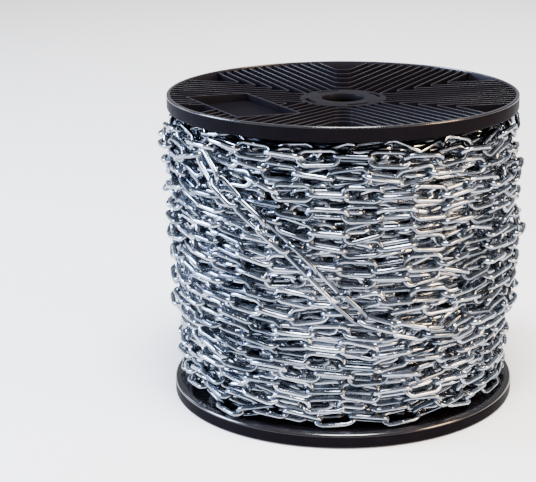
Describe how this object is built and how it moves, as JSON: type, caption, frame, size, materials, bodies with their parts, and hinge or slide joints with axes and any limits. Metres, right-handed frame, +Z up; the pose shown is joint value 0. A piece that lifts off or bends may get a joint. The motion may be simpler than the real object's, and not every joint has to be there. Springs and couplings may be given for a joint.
{
  "type": "reel of steel chain",
  "caption": "Black plastic reel standing on one ribbed flange, wound full of bright zinc-plated long-link welded steel chain, with a hollow barrel for an axle.",
  "frame": {"origin": "centre of the lower flange's rim, on the floor that the reel stands on", "axes": "+Z up along the reel's axis; -Y towards the pockets of both flanges"},
  "size_m": [0.389, 0.389, 0.336],
  "materials": {
    "black_plastic": "moulded, satin",
    "zinc_plated_steel": "bright zinc plate"
  },
  "bodies": {
    "root": {"top_flange": "black_plastic", "bottom_flange": "black_plastic", "barrel": "black_plastic", "chain_core": "zinc_plated_steel", "chain_outer_layer": "zinc_plated_steel", "crossing_link_1": "zinc_plated_steel", "crossing_link_2": "zinc_plated_steel", "crossing_link_3": "zinc_plated_steel", "crossing_link_4": "zinc_plated_steel", "crossing_link_5": "zinc_plated_steel", "crossing_link_6": "zinc_plated_steel", "crossing_link_7": "zinc_plated_steel"}
  },
  "joints": []
}
